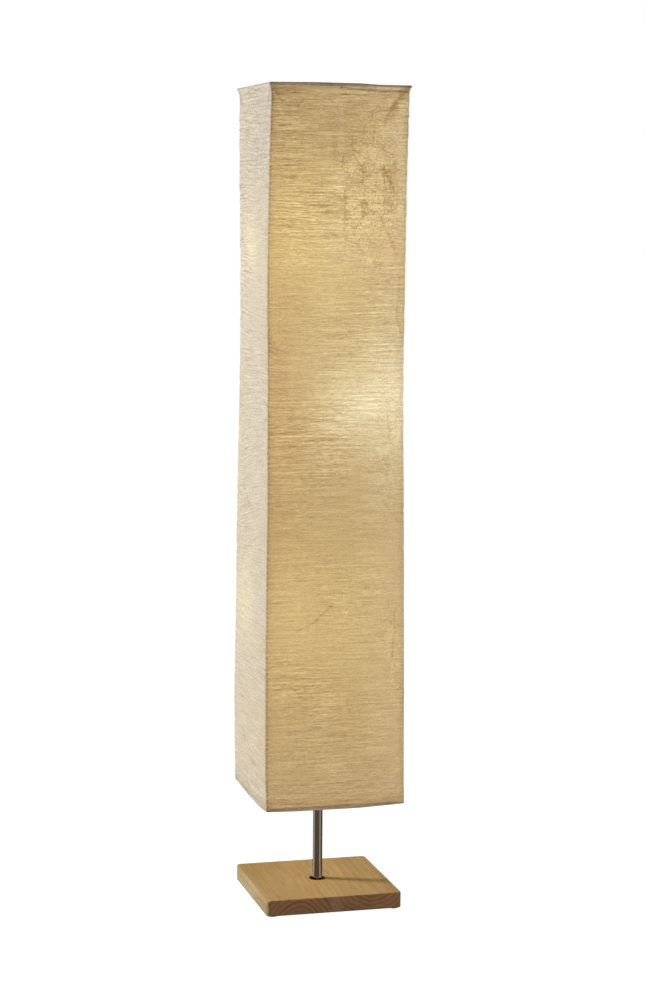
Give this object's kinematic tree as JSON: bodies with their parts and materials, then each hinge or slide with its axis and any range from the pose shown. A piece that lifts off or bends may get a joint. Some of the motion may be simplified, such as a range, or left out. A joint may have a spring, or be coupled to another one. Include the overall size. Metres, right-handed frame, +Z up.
{
  "type": "andon floor lamp",
  "caption": "Tall square paper-shaded floor lamp: a steel pole on a square weighted wood base carries upright bulbs on side arms inside a shade that turns and lifts off.",
  "frame": {"origin": "on the floor under the pole's axis, at the centre of the base", "axes": "+Z up along the pole, -Y out of the front, +X to the lamp's right as seen from the front"},
  "size_m": [0.254, 0.254, 1.473],
  "materials": {
    "base_wood": "satin",
    "cover_board": "matte",
    "pad_rubber": "matte",
    "ballast_steel": "satin",
    "zinc_screw": "satin",
    "brass_thread": "satin",
    "inlet_plastic": "matte",
    "terminal_plastic": "matte",
    "pole_steel": "satin",
    "socket_phenolic": "satin",
    "contact_brass": "polished",
    "lead_sheath": "satin",
    "bulb_glass": "satin",
    "bulb_metal": "satin",
    "seat_nylon": "satin",
    "frame_wire": "satin",
    "shade_paper": "matte"
  },
  "bodies": {
    "root": {"base_block": "base_wood", "foot_pads": "pad_rubber", "bottom_cover": "cover_board", "cover_screws": "zinc_screw", "ballast_screws": "zinc_screw", "ballast_plate": "ballast_steel", "base_nipple": "brass_thread", "base_washer": "zinc_screw", "base_nut": "brass_thread", "cord_bushing": "inlet_plastic", "terminal_block": "terminal_plastic", "bottom_tube": "pole_steel", "second_tube": "pole_steel", "third_tube": "pole_steel", "top_tube": "pole_steel", "pole_plug": "pole_steel", "top_pin": "pole_steel", "hub_lower": "pole_steel", "arm_lower": "pole_steel", "socket_cup_lower": "pole_steel", "socket_body_lower": "socket_phenolic", "screw_shell_lower": "contact_brass", "centre_contact_lower": "contact_brass", "lead_lower": "lead_sheath", "hub_middle": "pole_steel", "arm_middle": "pole_steel", "socket_cup_middle": "pole_steel", "socket_body_middle": "socket_phenolic", "screw_shell_middle": "contact_brass", "centre_contact_middle": "contact_brass", "lead_middle": "lead_sheath", "hub_upper": "pole_steel", "arm_upper": "pole_steel", "socket_cup_upper": "pole_steel", "socket_body_upper": "socket_phenolic", "screw_shell_upper": "contact_brass", "centre_contact_upper": "contact_brass", "lead_upper": "lead_sheath"},
    "shade_seat": {"seat_washer": "seat_nylon"},
    "shade": {"top_wire": "frame_wire", "bottom_wire": "frame_wire", "spider_ring": "frame_wire", "spider_spokes": "frame_wire", "paper_front": "shade_paper", "paper_right": "shade_paper", "paper_back": "shade_paper", "paper_left": "shade_paper"},
    "bulb_lower": {"bulb_glass_lower": "bulb_glass", "bulb_cap_lower": "bulb_metal", "bulb_tip_lower": "contact_brass"},
    "bulb_middle": {"bulb_glass_middle": "bulb_glass", "bulb_cap_middle": "bulb_metal", "bulb_tip_middle": "contact_brass"},
    "bulb_upper": {"bulb_glass_upper": "bulb_glass", "bulb_cap_upper": "bulb_metal", "bulb_tip_upper": "contact_brass"}
  },
  "joints": [
    {"name": "shade_turn", "type": "hinge", "parent": "root", "child": "shade_seat", "pos_m": [0, 0, 1.4629], "axis": [0, 0, 1], "continuous": true},
    {"name": "shade_lift", "type": "slide", "parent": "shade_seat", "child": "shade", "axis": [0, 0, 1], "range_m": [0, 1.3]},
    {"name": "bulb_lower_turn", "type": "hinge", "parent": "root", "child": "bulb_lower", "pos_m": [-0.05734, 0.04015, 0.47], "axis": [0, 0, 1], "range_deg": [0, 1080]},
    {"name": "bulb_middle_turn", "type": "hinge", "parent": "root", "child": "bulb_middle", "pos_m": [0.06894, -0.01215, 0.846], "axis": [0, 0, 1], "range_deg": [0, 1080]},
    {"name": "bulb_upper_turn", "type": "hinge", "parent": "root", "child": "bulb_upper", "pos_m": [-0.06578, 0.02394, 1.115], "axis": [0, 0, 1], "range_deg": [0, 1080]}
  ]
}
